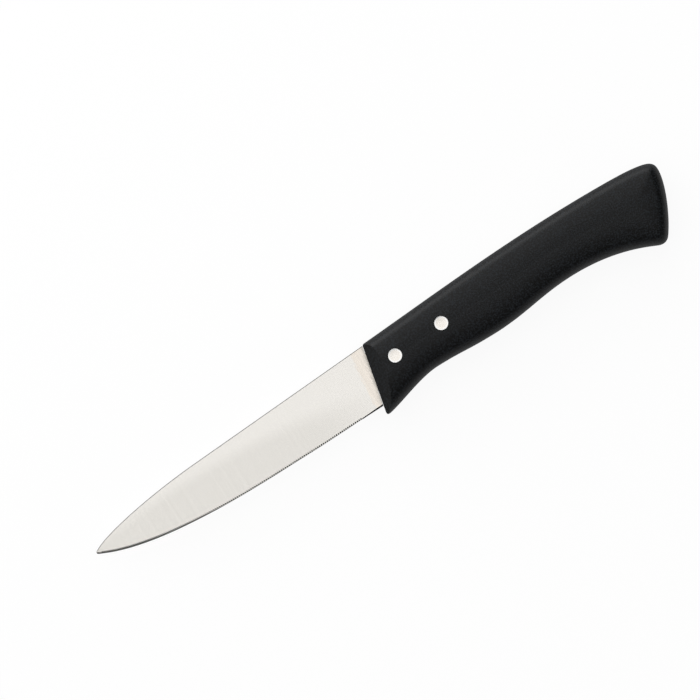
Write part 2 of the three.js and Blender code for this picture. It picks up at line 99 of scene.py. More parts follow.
# Tang
TANG_HEIGHT = 12.0
TANG_STEP = 0.04
TANG_RUN_OUT = 3.0
TANG_BEHIND_RIVET = 9.0
TANG_CORNER = 1.5
TANG_CLEARANCE = 0.15
SHOULDER_GAP = 0.1

# Handle outline
FRONT_LEAN = 12.8
SPINE_STEP = 0.58
HANDLE_LENGTH = 111.55
CREST_ALONG = 73.0
CREST_RISE = 2.68
TOP_FRONT_EASE = 23.0
CREST_FRONT_EASE = 23.6
CREST_BACK_EASE = 11.0
BUTT_TOP_SETBACK = 7.4
BUTT_TOP_FALL = 1.17
BUTT_TOP_SLOPE = 8.0
BUTT_TOP_EASE = 5.2
BUTT_CORNER_EASE = 2.8
BUTT_BACK_FALL = 5.4
BUTT_BACK_EASE = 5.4
HOOK_SETBACK = 10.05
HOOK_DROP = 4.25
HOOK_LEAN = 47.5
HOOK_EASE = 6.8
HOOK_CORNER = 2.8
HOLLOW_ALONG = 70.9
HOLLOW_RISE = 3.28
HOLLOW_BACK_EASE = 17.0
HOLLOW_FRONT_EASE = 11.0
HOOK_SLOPE = 24.5
HOOK_PULL = 4.0
PALM_ALONG = 42.1
PALM_RISE = 0.9
PALM_BACK_EASE = 11.0
PALM_FRONT_EASE = 10.0
CHOIL_ALONG = 21.0
CHOIL_RISE = 1.78
CHOIL_BACK_EASE = 9.0
CHOIL_FRONT_EASE = 7.0
BEAK_DROP = 2.87
BEAK_SLOPE = 7.0
BEAK_EASE = 6.0
BEAK_CORNER = 1.4
FRONT_TOP_CORNER = 0.8

# Handle section
HANDLE_THICKNESS = 14.0
EDGE_ROUND_WIDTH = 3.6
EDGE_ROUND_DEPTH = 3.6
RIM_CUT = 0.4  # the rounding stops this much before its full width, at a crisp rim
CROWN_DEPTH = 1.8
LAND_HALF_WIDTH = 1.0  # flat strip left along the core line
CORE_FRONT_SETBACK = 9.2
CORE_BUTT_SETBACK = 14.0
FRONT_WALL_HALF = 3.4
FRONT_BEVEL_LENGTH = 4.0
FRONT_RUN_ON = 20.0  # the rounded sides are drawn this far past the front, which then cuts them
OUTLINE_SPACING = 0.32  # between points of the outline
CORNER_POINTS = 9
ROUND_RINGS = 14
CROWN_RINGS = 9
WAY_STEPS = 60  # places tried along each way from the outline to the core
WAY_CROWDING = 1.5  # power that crowds them towards the outline
RIDGE_PASSES = 10  # softening of the ridges that run in from the outline's corners

# Rivets
FRONT_RIVET_ALONG = 11.4
RIVET_SPACING = 17.5
RIVET_BELOW_SPINE = 8.3
HEAD_RADIUS = 2.27
HEAD_HEIGHT = 1.0
HEAD_CHAMFER = 0.15
HEAD_CROWN = 0.05
HEAD_RECESS = 0.1
HEAD_SEAT_GAP = 0.05
BARREL_RADIUS = 1.6
BARREL_PAST_MIDDLE = 3.2
BARREL_FLOOR = 0.6
PIN_RADIUS = 1.0
PIN_TIP_RADIUS = 0.5
PIN_END_GAP = 0.4
PIN_TAPER = 0.6
PIN_CLEARANCE = 0.05
RIVET_CLEARANCE = 0.12
TURN_STEPS = 96
ROUND_STEPS = 5  # round the edge of a head
FACE_RINGS = 12
RIM_RINGS = 2  # of them are painted brighter at the rim, as a painted highlight

# Meshes
SHARP_ANGLE = 18.0  # edges that turn more than this stay crisp
WELD_DISTANCE = 1e-8  # metres

# Camera: straight above, turned so that the knife rises to the right
VIEW_TURN = 32.26
VIEW_CENTRE = (0.47, 20.64)
VIEW_WIDTH = 218.1
LENS = 400.0
SENSOR = 36.0


# Drawing

def tangent(degrees):
    return math.tan(math.radians(degrees))


def front_at(y):
    return y * tangent(FRONT_LEAN)


def spine_at(x):
    return HEEL_HEIGHT + x * tangent(SPINE_FALL)


def rivet_line_at(x):
    return spine_at(x) - RIVET_BELOW_SPINE


def meets_front(height):
    """X where a line that starts at `height` at X = 0 and rises with the spine meets the front."""
    return front_at(height) / (1 - tangent(FRONT_LEAN) * tangent(SPINE_FALL))


RIVET_PLACES = [(x, rivet_line_at(x)) for x in (FRONT_RIVET_ALONG, FRONT_RIVET_ALONG + RIVET_SPACING)]
FRONT_HEIGHT = spine_at(0) + SPINE_STEP
CREST_HEIGHT = FRONT_HEIGHT + CREST_RISE
TANG_START = meets_front(rivet_line_at(0)) - SHOULDER_GAP
TANG_END = FRONT_RIVET_ALONG + RIVET_SPACING + TANG_BEHIND_RIVET

pin_low, pin_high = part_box("front_rivet_pin")
handle_low, handle_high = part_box("handle")
pin_middle = (pin_low + pin_high) / 2
FRAME_SHIFT = np.array([
    pin_middle.x / MM - RIVET_PLACES[0][0],
    pin_middle.y / MM - RIVET_PLACES[0][1],
    (handle_low.z + handle_high.z) / 2 / MM,
])


def on_frame(points):
    """Points of the drawing, in millimetres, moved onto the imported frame, in metres."""
    return (np.asarray(points, float) + FRAME_SHIFT) * MM


def along(start, length, degrees):
    """The place reached from `start` by going `length` along a slope."""
    angle = math.radians(degrees)
    return np.array(start) + length * np.array([math.cos(angle), math.sin(angle)])


def cubic(start, leave, arrive, end, steps=400):
    """A cubic curve: the four places weighted by the Bernstein polynomials of the parameter."""
    t = np.linspace(0, 1, steps)[:, None]
    return (
        (1 - t) ** 3 * np.array(start)
        + 3 * t * (1 - t) ** 2 * np.array(leave)
        + 3 * t**2 * (1 - t) * np.array(arrive)
        + t**3 * np.array(end)
    )


def bend(start, start_pull, start_slope, end, end_pull, end_slope):
    """A cubic curve that leaves its start and reaches its end along given slopes."""
    return cubic(start, along(start, start_pull, start_slope), along(end, end_pull, end_slope), end)


def lengths_along(path):
    """Length walked from the start of a path to each of its points."""
    steps = np.linalg.norm(np.diff(path, axis=0), axis=1)
    return np.concatenate([[0.0], np.cumsum(steps)])


def at_lengths(path, lengths):
    """Places on a path at given lengths from its start."""
    walked = lengths_along(path)
    return np.stack([np.interp(lengths, walked, path[:, axis]) for axis in range(path.shape[1])], axis=1)


# Meshes

def piece(name, points, faces, nodes):
    """A shown piece of the knife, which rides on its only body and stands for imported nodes."""
    mesh = bpy.data.meshes.new(name)
    mesh.from_pydata(points.tolist(), [], faces)
    made = bpy.data.objects.new(name, mesh)
    bpy.context.scene.collection.objects.link(made)
    weld(mesh)
    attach(made, "root")
    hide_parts(*nodes)
    return made


def weld(mesh):
    """Merges points that meet at seams and poles, and turns every face outwards."""
    edit = bmesh.new()
    edit.from_mesh(mesh)
    bmesh.ops.remove_doubles(edit, verts=edit.verts, dist=WELD_DISTANCE)
    bmesh.ops.recalc_face_normals(edit, faces=edit.faces)
    edit.to_mesh(mesh)
    edit.free()


def crisp(made):
    """Smooth shading, broken where two faces meet at a real edge."""
    made.data.shade_smooth()
    made.data.set_sharp_from_angle(angle=math.radians(SHARP_ANGLE))


def grid_faces(rows, columns):
    """Quads between neighbouring rows of points, each row closed on itself."""
    row, column = np.meshgrid(np.arange(rows - 1), np.arange(columns), indexing="ij")
    after = (column + 1) % columns
    here, there = row * columns, (row + 1) * columns
    return np.stack([here + column, here + after, there + after, there + column], axis=-1).reshape(-1, 4)


def closed_faces(rows, columns):
    """Quads of a tube of closed rows, with a flat face over its first and its last row."""
    first = list(range(columns))[::-1]
    last = list(range((rows - 1) * columns, rows * columns))
    return grid_faces(rows, columns).tolist() + [first, last]


def turned_points(profile, place):
    """A profile of radii and heights turned round a line along Z: radius times cosine and sine."""
    profile = np.array(profile, float)
    angle = np.arange(TURN_STEPS) * 2 * math.pi / TURN_STEPS
    x = place[0] + profile[:, :1] * np.cos(angle)
    y = place[1] + profile[:, :1] * np.sin(angle)
    z = np.broadcast_to(profile[:, 1:], x.shape)
    return np.stack([x, y, z], axis=-1).reshape(-1, 3)


def cut(made, cutters):
    """Takes closed shapes out of a piece and keeps the finished mesh."""
    helpers = []
    for points, faces in cutters:
        mesh = bpy.data.meshes.new("cutter")
        mesh.from_pydata(on_frame(points).tolist(), [], faces)
        weld(mesh)
        helper = bpy.data.objects.new("cutter", mesh)
        bpy.context.scene.collection.objects.link(helper)
        modifier = made.modifiers.new("cut", "BOOLEAN")
        modifier.operation = "DIFFERENCE"
        modifier.solver = "EXACT"
        modifier.object = helper
        helpers.append(helper)
    graph = bpy.context.evaluated_depsgraph_get()
    finished = bpy.data.meshes.new_from_object(made.evaluated_get(graph))
    made.modifiers.clear()
    made.data = finished
    for helper in helpers:
        bpy.data.objects.remove(helper)


# Blade

def edge_path():
    """Cutting edge from heel to point: a slight lift at the heel, straight, then curving up."""
    heel = (front_at(HEEL_RISE) - SHOULDER_GAP, HEEL_RISE)
    level = (-HEEL_RISE_LENGTH, 0)
    start = (BELLY_LENGTH - BLADE_LENGTH, 0)
    end = (POINT_ROUND - BLADE_LENGTH, POINT_HEIGHT - POINT_BLUNT / 2)
    ease = HEEL_RISE_LENGTH / 3
    lift = bend(heel, -ease, 0, level, ease, 0)
    belly = bend(start, -BELLY_EASE, 0, end, EDGE_POINT_PULL, -EDGE_POINT_ANGLE)
    return np.concatenate([lift, belly])


def spine_path():
    """Spine from heel to point: straight, then dropping."""
    heel_x = meets_front(spine_at(0)) - SHOULDER_GAP
    start_x = SPINE_DROP_LENGTH - BLADE_LENGTH
    start = (start_x, spine_at(start_x))
    end = (POINT_ROUND - BLADE_LENGTH, POINT_HEIGHT + POINT_BLUNT / 2)
    drop = bend(start, -SPINE_DROP_EASE, SPINE_FALL, end, SPINE_POINT_PULL, SPINE_POINT_ANGLE)
    return np.concatenate([[(heel_x, spine_at(heel_x))], drop])


def blade_stations(edge_length):
    """Distance from the heel, height of the ground face and depth of the notch at each section.

    Along the teeth the distance to the nearest tip, in half pitches, raises the ground face from
    ridge to arch by a smooth step, three squares less two cubes, and deepens the notch through a
    quarter sine. Ridges and arches grow evenly towards the point.
    """
    plain = np.linspace(0, PLAIN_HEEL - GRIND_RUN_OUT, HEEL_STATIONS)
    teeth = math.floor((edge_length - PLAIN_HEEL - PLAIN_POINT) / TOOTH_PITCH)
    phase = np.arange(teeth * TOOTH_STATIONS + 1) / TOOTH_STATIONS
    to_tip = 1 - np.abs(1 - 2 * (phase % 1))
    toothed = PLAIN_HEEL + phase * TOOTH_PITCH
    distance = np.concatenate([plain, toothed, [edge_length]])
    rise = np.clip((to_tip - ARCH_FOOT) / (ARCH_HEAD - ARCH_FOOT), 0, 1)
    growth = [edge_length - POINT_GRIND_LENGTH, edge_length - POINT_GRIND_EVEN]
    ridge = np.interp(toothed, growth, [RIDGE_HEIGHT, POINT_RIDGE_HEIGHT])
    arch = np.interp(toothed, growth, [ARCH_HEIGHT, POINT_ARCH_HEIGHT])
    arches = ridge + (arch - ridge) * (3 * rise**2 - 2 * rise**3)
    heel = np.linspace(HEEL_GRIND_HEIGHT, HEEL_GRIND_END, HEEL_STATIONS)
    ground = np.concatenate([heel, arches, [POINT_ARCH_HEIGHT]])
    notch = np.concatenate([np.zeros(len(plain)), TOOTH_DEPTH * np.sin(to_tip * math.pi / 2), [0.0]])
    return distance, ground, notch


def blade_sections():
    """Sections of the blade as an array of rows of seven corners, from point to heel.

    Each is a wedge between a place on the edge and the place at the same share of the spine: its
    half thickness grows evenly from edge to spine, its spine is chamfered, and the upper face is
    ground away towards the lower one at the edge.
    """
    edge, spine = edge_path(), spine_path()
    edge_length, spine_length = lengths_along(edge)[-1], lengths_along(spine)[-1]
    distance, ground, notch = (values[::-1] for values in blade_stations(edge_length))
    share = distance / edge_length
    low, high = at_lengths(edge, distance), at_lengths(spine, share * spine_length)
    height = np.linalg.norm(high - low, axis=1)
    spine_half = (BLADE_THICKNESS + (POINT_THICKNESS - BLADE_THICKNESS) * share) / 2

    def half_at(up):
        return EDGE_THICKNESS / 2 + (spine_half - EDGE_THICKNESS / 2) * up / height

    shoulder = height - SPINE_CHAMFER
    ground = np.minimum(ground, height - 2 * SPINE_CHAMFER)
    corners = [
        (notch, -half_at(notch)),
        (shoulder, -half_at(shoulder)),
        (height, SPINE_CHAMFER - spine_half),
        (height, spine_half - SPINE_CHAMFER),
        (shoulder, half_at(shoulder)),
        (ground, half_at(ground)),
        (notch, EDGE_LAND - half_at(notch)),
    ]
    rows = [np.column_stack([low + (high - low) * (up / height)[:, None], z]) for up, z in corners]
    return np.stack(rows, axis=1), half_at


def tang_section(x, height, low_half, high_half):
    """Seven corners of the tang at x, its section leaning like the front of the handle."""
    half = height / 2
    corners = [
        (-half, -low_half),
        (half - SPINE_CHAMFER, -high_half),
        (half, SPINE_CHAMFER - high_half),
        (half, high_half - SPINE_CHAMFER),
        (half - SPINE_CHAMFER, high_half),
        (SPINE_CHAMFER - half, low_half),
        (-half, low_half - SPINE_CHAMFER),
    ]
    return np.array([(x + front_at(up), rivet_line_at(x) + up, z) for up, z in corners])


def make_blade(steel, shaded_bevel_steel, spine_steel):
    """Blade and tang: one tube of sections from the point to the end of the tang, then drilled."""
    ground, half_at = blade_sections()
    nose = np.array([-BLADE_LENGTH, POINT_HEIGHT, 0]) + (ground[0] - [0, POINT_HEIGHT, 0]) * (
        POINT_NOSE / POINT_BLUNT
    )
    nose[:, 0] = -BLADE_LENGTH
    middle = rivet_line_at(TANG_START)
    low = half_at(middle - TANG_HEIGHT / 2)[-1] - TANG_STEP
    high = half_at(middle + TANG_HEIGHT / 2)[-1] - TANG_STEP
    full = BLADE_THICKNESS / 2
    tang = [
        tang_section(TANG_START, TANG_HEIGHT, low, high),
        tang_section(TANG_START + TANG_RUN_OUT, TANG_HEIGHT, full, full),
        tang_section(TANG_END - TANG_CORNER, TANG_HEIGHT, full, full),
        tang_section(TANG_END, TANG_HEIGHT - 2 * TANG_CORNER, full, full),
    ]
    rows = np.concatenate([[nose], ground, tang])
    count, corners = rows.shape[:2]
    points, faces = on_frame(rows.reshape(-1, 3)), closed_faces(count, corners)
    made = piece("serrated_blade", points, faces, ["blade"])
    for finish in (steel, shaded_bevel_steel, spine_steel):
        made.data.materials.append(finish)
    bevel_index, spine_index = 1, 2
    index = np.zeros(len(made.data.polygons), np.int32)
    # Faces round a section, in turn: lower side, chamfer, spine, chamfer, upper side, bevel, edge
    by_section = index[: len(ground) * corners].reshape(-1, corners)
    by_section[:, 1:4] = spine_index
    # Bevel and edge faces take the steel painted nearly black as painted shade
    by_section[:, 5:] = bevel_index
    made.data.polygons.foreach_set("material_index", index)
    radius, reach = BARREL_RADIUS + RIVET_CLEARANCE, BLADE_THICKNESS
    profile = [(0, -reach), (radius, -reach), (radius, reach), (0, reach)]
    drill = grid_faces(len(profile), TURN_STEPS).tolist()
    cut(made, [(turned_points(profile, place), drill) for place in RIVET_PLACES])
    crisp(made)
    return made


# Handle

def handle_outline():
    """Points round the handle, and the same with top and underside run straight on past the front.

    The sides are cubic curves from the beak round, with corners bridged by quadratics.
    """
    beak = (front_at(-BEAK_DROP), -BEAK_DROP)
    choil = (CHOIL_ALONG, CHOIL_RISE)
    palm = (PALM_ALONG, PALM_RISE)
    hollow = (HOLLOW_ALONG, HOLLOW_RISE)
    hook = (HANDLE_LENGTH - HOOK_SETBACK, -HOOK_DROP)
    front_top = (front_at(FRONT_HEIGHT), FRONT_HEIGHT)
    crest = (CREST_ALONG, CREST_HEIGHT)
    butt_top = (HANDLE_LENGTH - BUTT_TOP_SETBACK, CREST_HEIGHT - BUTT_TOP_FALL)
    butt_back = (HANDLE_LENGTH, CREST_HEIGHT - BUTT_BACK_FALL)
    sides = [  # each with the size of the corner after it
        (bend(beak, BEAK_EASE, BEAK_SLOPE, choil, -CHOIL_FRONT_EASE, 0), 0),
        (bend(choil, CHOIL_BACK_EASE, 0, palm, -PALM_FRONT_EASE, 0), 0),
        (bend(palm, PALM_BACK_EASE, 0, hollow, -HOLLOW_FRONT_EASE, 0), 0),
        (bend(hollow, HOLLOW_BACK_EASE, 0, hook, -HOOK_PULL, -HOOK_SLOPE), HOOK_CORNER),
        (bend(hook, HOOK_EASE, HOOK_LEAN, butt_back, -BUTT_BACK_EASE, 90), 0),
        (bend(butt_back, BUTT_CORNER_EASE, 90, butt_top, BUTT_TOP_EASE, -BUTT_TOP_SLOPE), 0),
        (bend(butt_top, -BUTT_TOP_EASE, -BUTT_TOP_SLOPE, crest, CREST_BACK_EASE, 0), 0),
        (bend(crest, -CREST_FRONT_EASE, 0, front_top, TOP_FRONT_EASE, SPINE_FALL), FRONT_TOP_CORNER),
        (np.array([front_top, beak]), BEAK_CORNER),
    ]
    points = []
    for order, (path, corner) in enumerate(sides):
        after = sides[(order + 1) % len(sides)][0]
        length = lengths_along(path)[-1]
        start, end = sides[order - 1][1], length - corner
        steps = math.ceil((end - start) / OUTLINE_SPACING)
        points.append(at_lengths(path, np.linspace(start, end, steps, endpoint=False)))
        if corner:
            t = np.linspace(0, 1, CORNER_POINTS, endpoint=False)[:, None]
            leave, arrive = at_lengths(path, [end]), at_lengths(after, [corner])
            points.append((1 - t) ** 2 * leave + 2 * t * (1 - t) * path[-1] + t**2 * arrive)
    *before_front, _, _, _ = points  # the front and its two corners come last
    far_beak = along(beak, -FRONT_RUN_ON, BEAK_SLOPE)
    far_top = along(front_top, -FRONT_RUN_ON, SPINE_FALL)
    run_on = np.concatenate([[far_beak, beak], *before_front, [front_top, far_top]])
    return np.concatenate(points), run_on


def distance_to(outline, spots):
    """Least distance from each spot to a closed outline: to the nearest place on its segments."""
    way = np.roll(outline, -1, axis=0) - outline
    offset = spots[:, None, :] - outline
    share = np.clip((offset * way).sum(-1) / (way**2).sum(-1), 0, 1)
    return np.sqrt(((offset - share[..., None] * way) ** 2).sum(-1)).min(1)


def core_spots(run_on, x):
    """Places on the core line at each X, or at its end by the butt.

    The core line runs half-way between the lower and the upper outline.
    """
    far = run_on[:, 0].argmax()
    lower, upper = run_on[: far + 1], run_on[far:][::-1]
    x = np.minimum(x, HANDLE_LENGTH - CORE_BUTT_SETBACK)
    return np.column_stack([x, (np.interp(x, *lower.T) + np.interp(x, *upper.T)) / 2])


def inset_rings(outline, cores, depths):
    """The outline drawn in to its depths, every point along its straight way to its core spot.

    The distance to the outline is worked out at steps along all ways, and the place where it first
    reaches a depth is read off between two steps.
    """
    shares = np.linspace(0, 1, WAY_STEPS) ** WAY_CROWDING
    ways = cores - outline
    table = np.stack([distance_to(outline, outline + share * ways) for share in shares], axis=1)
    table = np.maximum.accumulate(table, axis=1) + np.arange(WAY_STEPS) * 1e-9  # always rising
    upper = np.clip((table[:, :, None] < depths[:, None, :]).sum(1), 1, WAY_STEPS - 1)
    near, far = np.take_along_axis(table, upper - 1, 1), np.take_along_axis(table, upper, 1)
    part = np.clip((depths - near) / (far - near), 0, 1)
    reached = shares[upper - 1] + part * (shares[upper] - shares[upper - 1])
    return outline + reached.T[:, :, None] * ways


def soften(rings, weights):
    """Each ring's points drawn towards the mean of their neighbours, more so on inner rings."""
    for _ in range(RIDGE_PASSES):
        mean = (np.roll(rings, 1, axis=1) + 2 * rings + np.roll(rings, -1, axis=1)) / 4
        rings = rings + weights[:, None, None] * (mean - rings)
    return rings


def side_height(run_on, spots):
    """Height of the side over each spot: it falls from the flat middle by the crown, a parabola that
    ends level at its width, and at the edge also by an arc of an ellipse."""
    depth = distance_to(run_on, spots)
    crown_width = distance_to(run_on, core_spots(run_on, spots[:, 0])) - LAND_HALF_WIDTH
    crown = np.maximum(0, 1 - depth / crown_width)
    edge = np.maximum(0, 1 - (depth + RIM_CUT) / EDGE_ROUND_WIDTH)
    return HANDLE_THICKNESS / 2 - CROWN_DEPTH * crown**2 - EDGE_ROUND_DEPTH * (1 - np.sqrt(1 - edge**2))


def front_bevel(side):
    """The wedge taken off the front on one side: all beyond a plane from the wall to the side."""
    half = HANDLE_THICKNESS / 2
    rise = half - FRONT_WALL_HALF
    length = FRONT_BEVEL_LENGTH / math.cos(math.radians(FRONT_LEAN))
    wedge = [(-length, FRONT_WALL_HALF - rise), (2 * length, half + rise), (-length, half + rise)]
    rows = []
    for y in (-BEAK_DROP - FRONT_BEVEL_LENGTH, FRONT_HEIGHT + FRONT_BEVEL_LENGTH):
        rows += [(front_at(y) + back, y, side * z) for back, z in wedge]
    return np.array(rows), closed_faces(2, len(wedge))


def tang_pocket():
    """Corners and faces of the tang's pocket, which opens at the front of the handle."""
    height = TANG_HEIGHT / 2 + TANG_CLEARANCE
    half = BLADE_THICKNESS / 2 + TANG_CLEARANCE
    section = [(-height, -half), (height, -half), (height, half), (-height, half)]
    rows = []
    for x in (TANG_START - EDGE_ROUND_WIDTH, TANG_END + TANG_CLEARANCE):
        rows += [(x + front_at(up), rivet_line_at(x) + up, z) for up, z in section]
    return np.array(rows), closed_faces(2, len(section))


def rivet_bore(place):
    """The stepped hole for a rivet: a bore through the handle with a wider seat on each side."""
    side = HANDLE_THICKNESS / 2
    seat = side - HEAD_RECESS - HEAD_HEIGHT - HEAD_SEAT_GAP
    bore, head = BARREL_RADIUS + RIVET_CLEARANCE, HEAD_RADIUS + RIVET_CLEARANCE
    top = side + HEAD_HEIGHT
    half = [(0, top), (head, top), (head, seat), (bore, seat)]
    profile = [(radius, -z) for radius, z in half] + half[::-1]
    return turned_points(profile, place), grid_faces(len(profile), TURN_STEPS).tolist()


def make_handle(plastic):
    """The handle: its outline drawn in ring by ring over a rounded edge and a crowned side, on both
    sides of the middle, then cut for the front's bevels, the tang and the rivets."""
    outline, run_on = handle_outline()
    cores = core_spots(run_on, np.maximum(outline[:, 0], front_at(FRONT_HEIGHT / 2) + CORE_FRONT_SETBACK))
    crown_width = distance_to(outline, cores)[:, None] - LAND_HALF_WIDTH
    rim = math.acos(1 - RIM_CUT / EDGE_ROUND_WIDTH)
    turn = np.linspace(rim, math.pi / 2, ROUND_RINGS, endpoint=False)
    rounding = np.tile(EDGE_ROUND_WIDTH * (1 - np.cos(turn)) - RIM_CUT, (len(outline), 1))
    crown_start = EDGE_ROUND_WIDTH - RIM_CUT
    crown = crown_start + np.linspace(0, 1, CROWN_RINGS) * (crown_width - crown_start)
    depths = np.concatenate([rounding, crown], axis=1)
    rings = inset_rings(outline, cores, depths)
    height = np.stack([side_height(run_on, ring) for ring in rings])
    rings = soften(rings, np.clip(depths.mean(0) / EDGE_ROUND_WIDTH, 0, 1))
    upper = np.concatenate([rings, height[:, :, None]], axis=2)
    lower = upper[::-1] * [1, 1, -1]
    rows = np.concatenate([lower, upper])
    count, around = rows.shape[:2]
    points, faces = on_frame(rows.reshape(-1, 3)), closed_faces(count, around)
    made = piece("moulded_handle", points, faces, ["handle"])
    made.data.materials.append(plastic)
    bevels = [front_bevel(1), front_bevel(-1)]
    cut(made, [*bevels, tang_pocket(), *(rivet_bore(place) for place in RIVET_PLACES)])
    crisp(made)
    return made


# Rivets

HEAD_TOP = HANDLE_THICKNESS / 2 - HEAD_RECESS
HEAD_BOTTOM = HEAD_TOP - HEAD_HEIGHT
BORE_BOTTOM = HEAD_BOTTOM - BARREL_FLOOR


def head_profile():
    """Radii and heights of a rivet head: a face crowned as a parabola, a round edge and the rim."""
    face = HEAD_RADIUS - HEAD_CHAMFER
    radii = np.linspace(0, face, FACE_RINGS)
    crown = np.column_stack([radii, HEAD_TOP - HEAD_CROWN * (radii / face) ** 2])
    turn = np.linspace(0, math.pi / 2, ROUND_STEPS + 1)[1:]
    shoulder = HEAD_TOP - HEAD_CROWN - HEAD_CHAMFER
    rounding = HEAD_CHAMFER * np.column_stack([np.sin(turn), np.cos(turn)]) + [face, shoulder]
    return np.concatenate([crown, rounding, [(HEAD_RADIUS, HEAD_BOTTOM)]])


def make_rivets(steel, highlight_rim_steel):
    """Each rivet: a pin with its head in the upper side, and a barrel with its head in the lower."""
    end = PIN_END_GAP - BORE_BOTTOM
    bore = PIN_RADIUS + PIN_CLEARANCE
    pin = [(PIN_RADIUS, HEAD_BOTTOM), (PIN_RADIUS, end + PIN_TAPER), (PIN_TIP_RADIUS, end), (0, end)]
    barrel = [
        (BARREL_RADIUS, HEAD_BOTTOM),
        (BARREL_RADIUS, -BARREL_PAST_MIDDLE),
        (bore, -BARREL_PAST_MIDDLE),
        (bore, BORE_BOTTOM),
        (0, BORE_BOTTOM),
    ]
    rivets = []
    for name, place in zip(("front", "rear"), RIVET_PLACES):
        for half, stem, side in (("pin", pin, 1), ("barrel", barrel, -1)):
            profile = np.concatenate([head_profile(), stem]) * [1, side]
            made = piece(
                f"{name}_{half}",
                on_frame(turned_points(profile, place)),
                grid_faces(len(profile), TURN_STEPS).tolist(),
                [f"{name}_rivet_{half}"],
            )
            made.data.materials.append(steel)
            made.data.materials.append(highlight_rim_steel)
            ring = np.arange(len(made.data.polygons)) // TURN_STEPS
            # The outer rings of each head take the painted highlight: steel painted nearly white at the
            # rim
            highlighted_rings = ring >= FACE_RINGS - 1 - RIM_RINGS
            made.data.polygons.foreach_set("material_index", highlighted_rings.astype(np.int32))
            crisp(made)
            rivets.append(made)
    return rivets


# Materials

def linear(code):
    """Linear red, green, blue and alpha of an sRGB hex value."""
    values = [int(code[start:start + 2], 16) / 255 for start in (1, 3, 5)]
    return (*(v / 12.92 if v <= 0.04045 else ((v + 0.055) / 1.055) ** 2.4 for v in values), 1.0)


def add(tree, kind, sockets, **settings):
    """Adds a node with its settings, and sets each input or links it to another node's output."""
    node = tree.nodes.new(kind)
    for name, value in settings.items():
        setattr(node, name, value)
    for name, value in sockets.items():
        if isinstance(value, bpy.types.NodeSocket):
            tree.links.new(value, node.inputs[name])
        else:
            node.inputs[name].default_value = value
    return node


def new_material(name):
    """An empty material, its node tree, its surface socket and object coordinates."""
    material = bpy.data.materials.new(name)
    material.use_nodes = True
    tree = material.node_tree
    tree.nodes.clear()
    surface = add(tree, "ShaderNodeOutputMaterial", {}).inputs["Surface"]
    place = add(tree, "ShaderNodeTexCoord", {}).outputs["Object"]
    return material, tree, surface, place


def noise(tree, place, width, length, detail):
    """Noise in spots of about `width` along X and `length` along Y and Z, in millimetres."""
    scale = np.array([1 / width, 1 / length, 1 / length]) / MM
    spots = add(tree, "ShaderNodeMapping", {"Vector": place, "Scale": scale}).outputs["Vector"]
    return add(tree, "ShaderNodeTexNoise", {"Vector": spots, "Scale": 1, "Detail": detail}).outputs["Fac"]


def spread(tree, value, low, high, to_low=0, to_high=1, kind="LINEAR"):
    """A value stretched from the range `low` to `high` over another, and held at its ends."""
    sockets = {"Value": value, "From Min": low, "From Max": high, "To Min": to_low, "To Max": to_high}
    return add(tree, "ShaderNodeMapRange", sockets, interpolation_type=kind).outputs["Result"]


def maths(tree, operation, *values):
    """One operation on two or three values."""
    return add(tree, "ShaderNodeMath", dict(enumerate(values)), operation=operation).outputs[0]


def blend(tree, share, first, second):
    """Two colours mixed: none of the second at share 0, all of it at 1."""
    return add(tree, "ShaderNodeMix", {0: share, 6: first, 7: second}, data_type="RGBA").outputs[2]


def bump(tree, height, strength, depth):
    """Normals that follow a height, with `depth` in millimetres."""
    sockets = {"Height": height, "Strength": strength, "Distance": depth * MM}
    return add(tree, "ShaderNodeBump", sockets).outputs["Normal"]


def shade(tree, surface, sockets):
    """The one shader of a material."""
    shader = add(tree, "ShaderNodeBsdfPrincipled", sockets)
    tree.links.new(shader.outputs["BSDF"], surface)


def beyond(tree, place, foot, lean):
    """How far each spot lies behind a line that starts at X = `foot` on the edge and leans back."""
    turn = math.radians(lean)
    start = on_frame([foot, 0, 0])
    turned = add(tree, "ShaderNodeMapping", {
        "Vector": place,
        "Rotation": (0, 0, turn),
        "Location": (start[1] * math.sin(turn) - start[0] * math.cos(turn), 0, 0),
    }).outputs["Vector"]
    return add(tree, "ShaderNodeSeparateXYZ", {"Vector": turned}).outputs["X"]


def painted_light_outside_oval(tree, place):
    """Share by which a spot lies outside an oval over the lower part of the blade's front half: painted
    light and shade, the steel painted darker inside the oval and brighter outside it.
    """
    centre = Vector(on_frame([-66, 3, 0]))
    half_length, half_height, blur = 57.5, 10.1, 0.25
    scale = Vector((1 / half_length, 1 / half_height, 0)) / MM
    oval = add(tree, "ShaderNodeMapping", {
        "Vector": place, "Scale": scale, "Location": -centre * scale,
    }).outputs["Vector"]
    away = add(tree, "ShaderNodeVectorMath", {0: oval}, operation="LENGTH").outputs["Value"]
    return spread(tree, away, 1 - blur, 1 + blur, kind="SMOOTHSTEP")


def heel_band(tree, place):
    """Share of the band beside the handle at each spot, and its colour: ivory with grey streaks, greyer
    right beside the handle.
    """
    foot, lean, blur, wander = -2.35, 5.9, 0.25 * MM, 3 * MM
    grey_width, grey_length, grey_reach = 0.5, 2.5, 1.8 * MM
    cloud = noise(tree, place, grey_width, grey_length, 3)
    shift = maths(tree, "SUBTRACT", cloud, 0.5)
    inside = maths(tree, "MULTIPLY_ADD", shift, wander, beyond(tree, place, foot, lean))
    # Greyer within a short reach of the handle's front
    near = spread(tree, beyond(tree, place, 0, FRONT_LEAN), -grey_reach, 0, -0.35, 0.2)
    grey_share = spread(tree, maths(tree, "ADD", cloud, near), 0.35, 0.75)
    return spread(tree, inside, -blur, blur), blend(tree, grey_share, linear("#ebe3d9"), linear("#cbc6be"))


